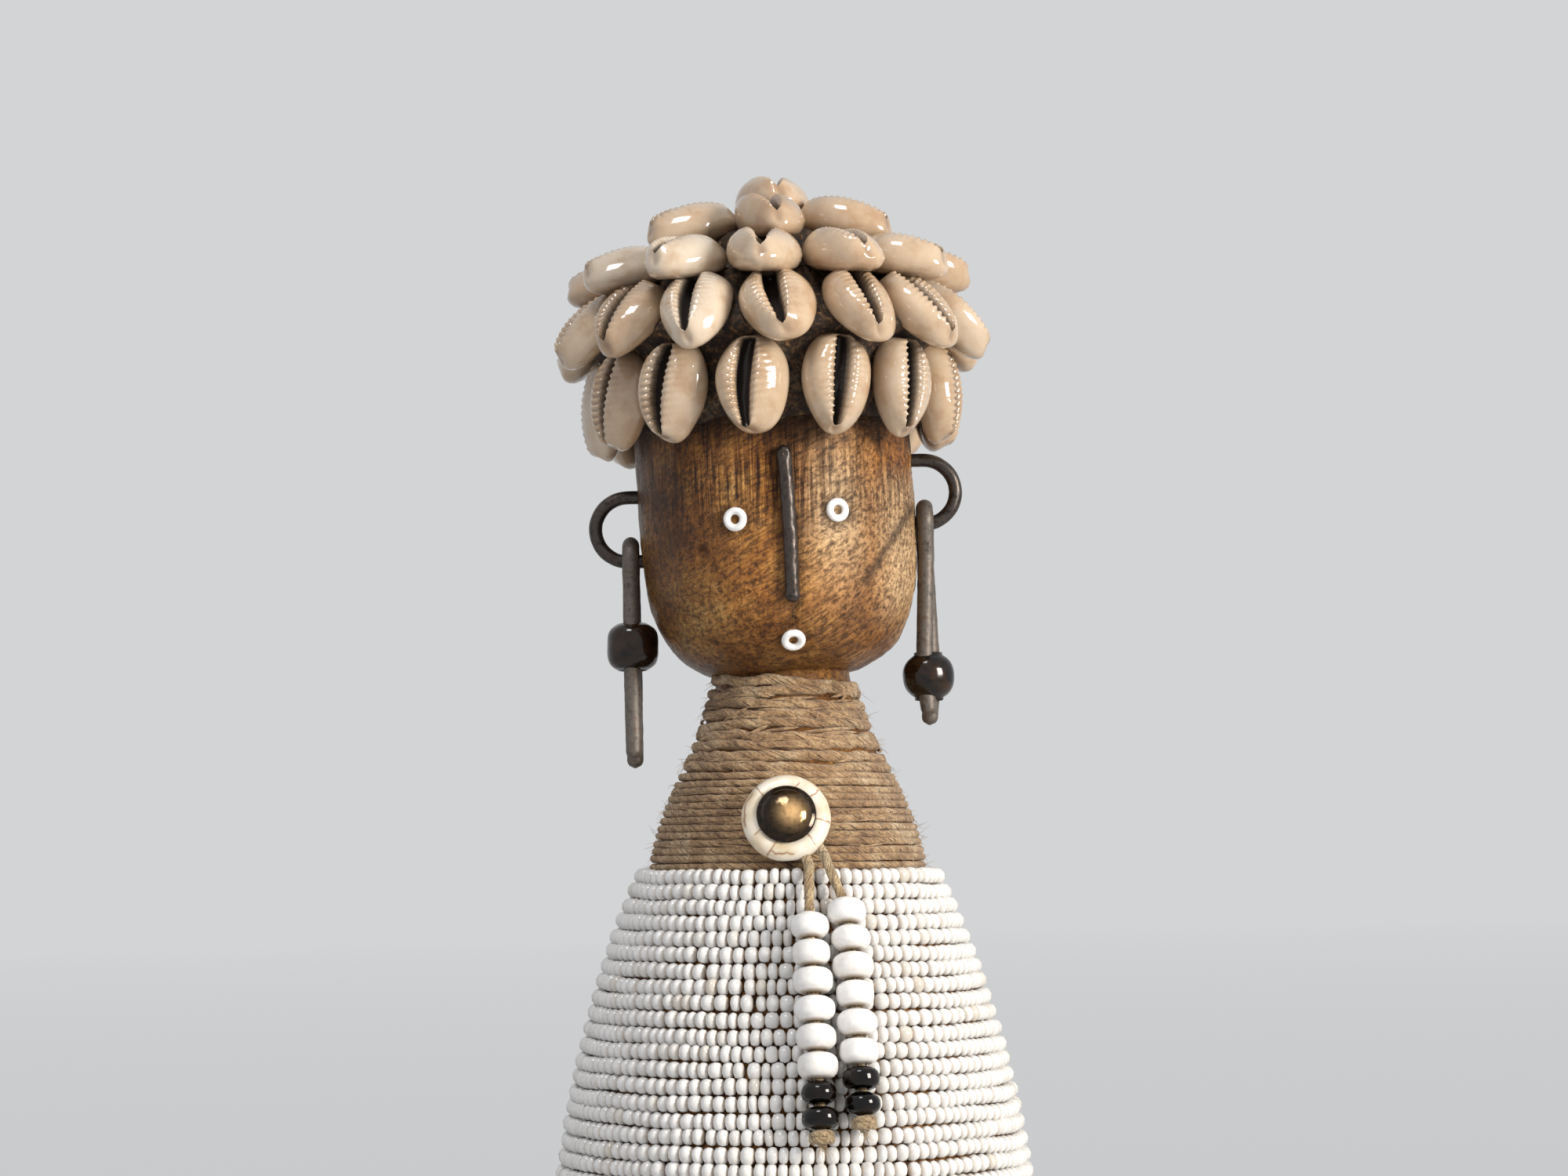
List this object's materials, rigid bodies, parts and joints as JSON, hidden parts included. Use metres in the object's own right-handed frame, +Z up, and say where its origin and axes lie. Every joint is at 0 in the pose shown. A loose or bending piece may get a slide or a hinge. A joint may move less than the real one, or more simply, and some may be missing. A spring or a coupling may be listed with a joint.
{
  "type": "beaded wooden doll",
  "caption": "Carved wooden doll with cowrie-shell hair, iron ear loops with swinging earrings, jute-wound neck, bell skirt of bead rows and two hanging bead pendants.",
  "frame": {"origin": "middle of the flat base, on the surface that the doll stands on", "axes": "+Z up the doll, -Y towards the side that the face looks to, +X to the right in the front view"},
  "size_m": [0.0924, 0.0953, 0.2609],
  "materials": {
    "wood": "oiled, semi-gloss, carved",
    "pitch": "dull black-brown pitch",
    "cowrie": "glossy shell",
    "iron": "dark forged wire",
    "pale_glass": "milky glass",
    "dark_glass": "glossy brown-black glass",
    "jute": "hairy natural cord",
    "bone": "polished, crazed",
    "bronze": "dark patina with a bright centre"
  },
  "bodies": {
    "figure": {"carved_figure": "wood", "pitch_cap": "pitch", "nose_nail": "iron", "eye_bead_left": "pale_glass", "eye_bead_right": "pale_glass", "mouth_bead": "pale_glass", "ear_loop_left": "iron", "ear_loop_right": "iron", "neck_cord": "jute", "shoulder_cord": "jute", "bead_strand_upper": "pale_glass", "bead_strand_lower": "pale_glass", "medallion_ring": "bone", "medallion_button": "bronze", "cowrie_fringe_01": "cowrie", "cowrie_fringe_02": "cowrie", "cowrie_fringe_03": "cowrie", "cowrie_fringe_04": "cowrie", "cowrie_fringe_05": "cowrie", "cowrie_fringe_06": "cowrie", "cowrie_fringe_07": "cowrie", "cowrie_fringe_08": "cowrie", "cowrie_fringe_09": "cowrie", "cowrie_fringe_10": "cowrie", "cowrie_fringe_11": "cowrie", "cowrie_fringe_12": "cowrie", "cowrie_fringe_13": "cowrie", "cowrie_brim_01": "cowrie", "cowrie_brim_02": "cowrie", "cowrie_brim_03": "cowrie", "cowrie_brim_04": "cowrie", "cowrie_brim_05": "cowrie", "cowrie_brim_06": "cowrie", "cowrie_brim_07": "cowrie", "cowrie_brim_08": "cowrie", "cowrie_brim_09": "cowrie", "cowrie_brim_10": "cowrie", "cowrie_brim_11": "cowrie", "cowrie_brim_12": "cowrie", "cowrie_brim_13": "cowrie", "cowrie_brim_14": "cowrie", "cowrie_upper_01": "cowrie", "cowrie_upper_02": "cowrie", "cowrie_upper_03": "cowrie", "cowrie_upper_04": "cowrie", "cowrie_upper_05": "cowrie", "cowrie_upper_06": "cowrie", "cowrie_upper_07": "cowrie", "cowrie_upper_08": "cowrie", "cowrie_upper_09": "cowrie", "cowrie_upper_10": "cowrie", "cowrie_upper_11": "cowrie", "cowrie_upper_12": "cowrie"},
    "earring_left": {"earring_wire_left": "iron", "earring_bead_left": "dark_glass"},
    "earring_right": {"earring_wire_right": "iron", "earring_bead_right": "dark_glass"},
    "pendant_left": {"pendant_left": "pale_glass"},
    "pendant_right": {"pendant_right": "pale_glass"}
  },
  "joints": [
    {"name": "earring_left_swing", "type": "hinge", "parent": "figure", "child": "earring_left", "pos_m": [-0.0279, 0, 0.1895], "axis": [1, 0, 0], "range_deg": [-60, 60]},
    {"name": "earring_right_swing", "type": "hinge", "parent": "figure", "child": "earring_right", "pos_m": [0.027, 0, 0.1953], "axis": [1, 0, 0], "range_deg": [-60, 60]},
    {"name": "pendant_left_lift", "type": "hinge", "parent": "figure", "child": "pendant_left", "pos_m": [0.0038, -0.02931, 0.13247], "axis": [-1, 0, 0], "range_deg": [0, 70]},
    {"name": "pendant_right_lift", "type": "hinge", "parent": "figure", "child": "pendant_right", "pos_m": [0.0064, -0.02805, 0.13439], "axis": [-1, 0, 0], "range_deg": [0, 70]}
  ]
}
